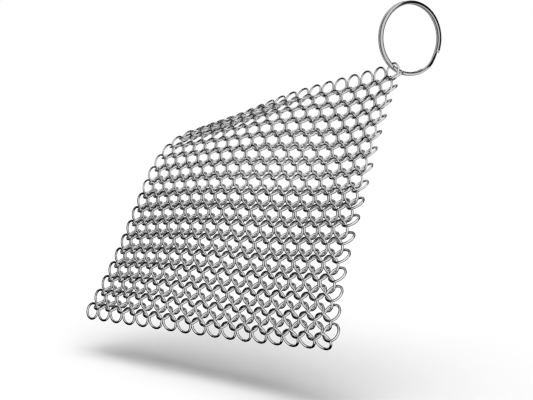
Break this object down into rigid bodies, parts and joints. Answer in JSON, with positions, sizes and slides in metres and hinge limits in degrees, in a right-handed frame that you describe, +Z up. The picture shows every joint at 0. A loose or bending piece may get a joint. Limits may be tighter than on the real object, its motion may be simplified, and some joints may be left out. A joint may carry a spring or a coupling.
{
  "type": "chainmail pot scrubber",
  "caption": "Square sheet of woven steel wire rings for scouring cast-iron pots, hung by one corner link from a two-turn split ring.",
  "frame": {"origin": "middle of the split ring's eye, where a hook or peg holds the part", "axes": "+Z up, +X along the rows of links towards the corner that hangs, +Y back, away from the side shown in the picture"},
  "size_m": [0.178, 0.111, 0.1783],
  "materials": {
    "link_steel": "bright tumbled stainless steel wire",
    "ring_steel": "polished steel split ring"
  },
  "bodies": {
    "hanging_ring": {"hanging_ring": "ring_steel"},
    "corner_link": {"corner_link": "link_steel"},
    "mail_row_01": {"mail_row_01": "link_steel"},
    "mail_row_02": {"mail_row_02": "link_steel"},
    "mail_row_03": {"mail_row_03": "link_steel"},
    "mail_row_04": {"mail_row_04": "link_steel"},
    "mail_row_05": {"mail_row_05": "link_steel"},
    "mail_row_06": {"mail_row_06": "link_steel"},
    "mail_row_07": {"mail_row_07": "link_steel"},
    "mail_row_08": {"mail_row_08": "link_steel"},
    "mail_row_09": {"mail_row_09": "link_steel"},
    "mail_row_10": {"mail_row_10": "link_steel"},
    "mail_row_11": {"mail_row_11": "link_steel"},
    "mail_row_12": {"mail_row_12": "link_steel"},
    "mail_row_13": {"mail_row_13": "link_steel"},
    "mail_row_14": {"mail_row_14": "link_steel"},
    "mail_row_15": {"mail_row_15": "link_steel"},
    "mail_row_16": {"mail_row_16": "link_steel"},
    "mail_row_17": {"mail_row_17": "link_steel"},
    "mail_row_18": {"mail_row_18": "link_steel"},
    "mail_row_19": {"mail_row_19": "link_steel"},
    "mail_row_20": {"mail_row_20": "link_steel"},
    "mail_row_21": {"mail_row_21": "link_steel"},
    "mail_row_22": {"mail_row_22": "link_steel"},
    "mail_row_23": {"mail_row_23": "link_steel"},
    "mail_row_24": {"mail_row_24": "link_steel"},
    "mail_row_25": {"mail_row_25": "link_steel"},
    "mail_row_26": {"mail_row_26": "link_steel"},
    "mail_row_27": {"mail_row_27": "link_steel"},
    "mail_row_28": {"mail_row_28": "link_steel"},
    "mail_row_29": {"mail_row_29": "link_steel"},
    "mail_row_30": {"mail_row_30": "link_steel"},
    "mail_row_31": {"mail_row_31": "link_steel"},
    "mail_row_32": {"mail_row_32": "link_steel"},
    "mail_row_33": {"mail_row_33": "link_steel"}
  },
  "joints": [
    {"name": "ring_turn", "type": "hinge", "parent": "hanging_ring", "child": "corner_link", "pos_m": [0, 0, 0], "axis": [0.9063, -0.4226, 0], "continuous": true},
    {"name": "corner_swing", "type": "hinge", "parent": "corner_link", "child": "mail_row_32", "pos_m": [-0.00464, -0.01135, -0.01909], "axis": [0.9181, -0.3146, 0.241], "range_deg": [-10, 4]},
    {"name": "row_33_fold", "type": "hinge", "parent": "mail_row_32", "child": "mail_row_33", "pos_m": [-0.07987, 0.00512, -0.03433], "axis": [0.9591, -0.1964, 0.2037], "range_deg": [-3, 6]},
    {"name": "row_31_fold", "type": "hinge", "parent": "mail_row_32", "child": "mail_row_31", "pos_m": [-0.08019, 0.00135, -0.03669], "axis": [0.9657, -0.184, 0.1832], "range_deg": [-6, 3]},
    {"name": "row_30_fold", "type": "hinge", "parent": "mail_row_31", "child": "mail_row_30", "pos_m": [-0.08046, -0.00233, -0.03924], "axis": [0.9714, -0.1714, 0.1644], "range_deg": [-6, 3]},
    {"name": "row_29_fold", "type": "hinge", "parent": "mail_row_30", "child": "mail_row_29", "pos_m": [-0.08067, -0.00592, -0.04196], "axis": [0.9762, -0.1591, 0.1474], "range_deg": [-6, 3]},
    {"name": "row_28_fold", "type": "hinge", "parent": "mail_row_29", "child": "mail_row_28", "pos_m": [-0.08084, -0.00941, -0.04484], "axis": [0.9801, -0.1476, 0.1327], "range_deg": [-6, 3]},
    {"name": "row_27_fold", "type": "hinge", "parent": "mail_row_28", "child": "mail_row_27", "pos_m": [-0.08097, -0.01281, -0.04788], "axis": [0.9832, -0.137, 0.1203], "range_deg": [-6, 3]},
    {"name": "row_26_fold", "type": "hinge", "parent": "mail_row_27", "child": "mail_row_26", "pos_m": [-0.08106, -0.0161, -0.05105], "axis": [0.9857, -0.1276, 0.1102], "range_deg": [-6, 3]},
    {"name": "row_25_fold", "type": "hinge", "parent": "mail_row_26", "child": "mail_row_25", "pos_m": [-0.08112, -0.01928, -0.05436], "axis": [0.9876, -0.1195, 0.1022], "range_deg": [-6, 3]},
    {"name": "row_24_fold", "type": "hinge", "parent": "mail_row_25", "child": "mail_row_24", "pos_m": [-0.08115, -0.02235, -0.05779], "axis": [0.9889, -0.1129, 0.0962], "range_deg": [-6, 3]},
    {"name": "row_23_fold", "type": "hinge", "parent": "mail_row_24", "child": "mail_row_23", "pos_m": [-0.08115, -0.02532, -0.06132], "axis": [0.9899, -0.1076, 0.0918], "range_deg": [-6, 3]},
    {"name": "row_22_fold", "type": "hinge", "parent": "mail_row_23", "child": "mail_row_22", "pos_m": [-0.08113, -0.02819, -0.06494], "axis": [0.9907, -0.1036, 0.0886], "range_deg": [-6, 3]},
    {"name": "row_21_fold", "type": "hinge", "parent": "mail_row_22", "child": "mail_row_21", "pos_m": [-0.0811, -0.03098, -0.06862], "axis": [0.9912, -0.1006, 0.0864], "range_deg": [-6, 3]},
    {"name": "row_20_fold", "type": "hinge", "parent": "mail_row_21", "child": "mail_row_20", "pos_m": [-0.08105, -0.03369, -0.07236], "axis": [0.9915, -0.0985, 0.0849], "range_deg": [-6, 3]},
    {"name": "row_19_fold", "type": "hinge", "parent": "mail_row_20", "child": "mail_row_19", "pos_m": [-0.08099, -0.03635, -0.07614], "axis": [0.9917, -0.097, 0.0839], "range_deg": [-6, 3]},
    {"name": "row_18_fold", "type": "hinge", "parent": "mail_row_19", "child": "mail_row_18", "pos_m": [-0.08092, -0.03897, -0.07995], "axis": [0.9919, -0.096, 0.0832], "range_deg": [-6, 3]},
    {"name": "row_17_fold", "type": "hinge", "parent": "mail_row_18", "child": "mail_row_17", "pos_m": [-0.08085, -0.04155, -0.08379], "axis": [0.992, -0.0953, 0.0828], "range_deg": [-6, 3]},
    {"name": "row_16_fold", "type": "hinge", "parent": "mail_row_17", "child": "mail_row_16", "pos_m": [-0.08078, -0.04411, -0.08764], "axis": [0.9921, -0.0947, 0.0825], "range_deg": [-6, 3]},
    {"name": "row_15_fold", "type": "hinge", "parent": "mail_row_16", "child": "mail_row_15", "pos_m": [-0.0807, -0.04664, -0.09151], "axis": [0.9921, -0.0945, 0.0823], "range_deg": [-6, 3]},
    {"name": "row_14_fold", "type": "hinge", "parent": "mail_row_15", "child": "mail_row_14", "pos_m": [-0.08062, -0.04915, -0.09539], "axis": [0.9922, -0.094, 0.082], "range_deg": [-6, 3]},
    {"name": "row_13_fold", "type": "hinge", "parent": "mail_row_14", "child": "mail_row_13", "pos_m": [-0.08054, -0.05164, -0.09929], "axis": [0.9922, -0.0937, 0.0818], "range_deg": [-6, 3]},
    {"name": "row_12_fold", "type": "hinge", "parent": "mail_row_13", "child": "mail_row_12", "pos_m": [-0.08045, -0.05409, -0.10322], "axis": [0.9924, -0.0928, 0.0813], "range_deg": [-6, 3]},
    {"name": "row_11_fold", "type": "hinge", "parent": "mail_row_12", "child": "mail_row_11", "pos_m": [-0.08036, -0.05649, -0.10717], "axis": [0.9925, -0.0915, 0.0805], "range_deg": [-6, 3]},
    {"name": "row_10_fold", "type": "hinge", "parent": "mail_row_11", "child": "mail_row_10", "pos_m": [-0.08026, -0.05885, -0.11115], "axis": [0.9928, -0.0895, 0.0793], "range_deg": [-6, 3]},
    {"name": "row_09_fold", "type": "hinge", "parent": "mail_row_10", "child": "mail_row_09", "pos_m": [-0.08015, -0.06114, -0.11516], "axis": [0.9932, -0.0867, 0.0777], "range_deg": [-6, 3]},
    {"name": "row_08_fold", "type": "hinge", "parent": "mail_row_09", "child": "mail_row_08", "pos_m": [-0.08003, -0.06336, -0.11921], "axis": [0.9937, -0.0828, 0.0755], "range_deg": [-6, 3]},
    {"name": "row_07_fold", "type": "hinge", "parent": "mail_row_08", "child": "mail_row_07", "pos_m": [-0.0799, -0.0655, -0.1233], "axis": [0.9943, -0.0777, 0.0728], "range_deg": [-6, 3]},
    {"name": "row_06_fold", "type": "hinge", "parent": "mail_row_07", "child": "mail_row_06", "pos_m": [-0.07977, -0.06757, -0.12742], "axis": [0.995, -0.0714, 0.0695], "range_deg": [-6, 3]},
    {"name": "row_05_fold", "type": "hinge", "parent": "mail_row_06", "child": "mail_row_05", "pos_m": [-0.07962, -0.06955, -0.13158], "axis": [0.9958, -0.0636, 0.0657], "range_deg": [-6, 3]},
    {"name": "row_04_fold", "type": "hinge", "parent": "mail_row_05", "child": "mail_row_04", "pos_m": [-0.07946, -0.07145, -0.13577], "axis": [0.9966, -0.0544, 0.0614], "range_deg": [-6, 3]},
    {"name": "row_03_fold", "type": "hinge", "parent": "mail_row_04", "child": "mail_row_03", "pos_m": [-0.07929, -0.07326, -0.13998], "axis": [0.9975, -0.0434, 0.0565], "range_deg": [-6, 3]},
    {"name": "row_02_fold", "type": "hinge", "parent": "mail_row_03", "child": "mail_row_02", "pos_m": [-0.07912, -0.07497, -0.14422], "axis": [0.9982, -0.0306, 0.0512], "range_deg": [-6, 3]},
    {"name": "row_01_fold", "type": "hinge", "parent": "mail_row_02", "child": "mail_row_01", "pos_m": [-0.07894, -0.07659, -0.14847], "axis": [0.9988, -0.0158, 0.0453], "range_deg": [-6, 3]}
  ]
}
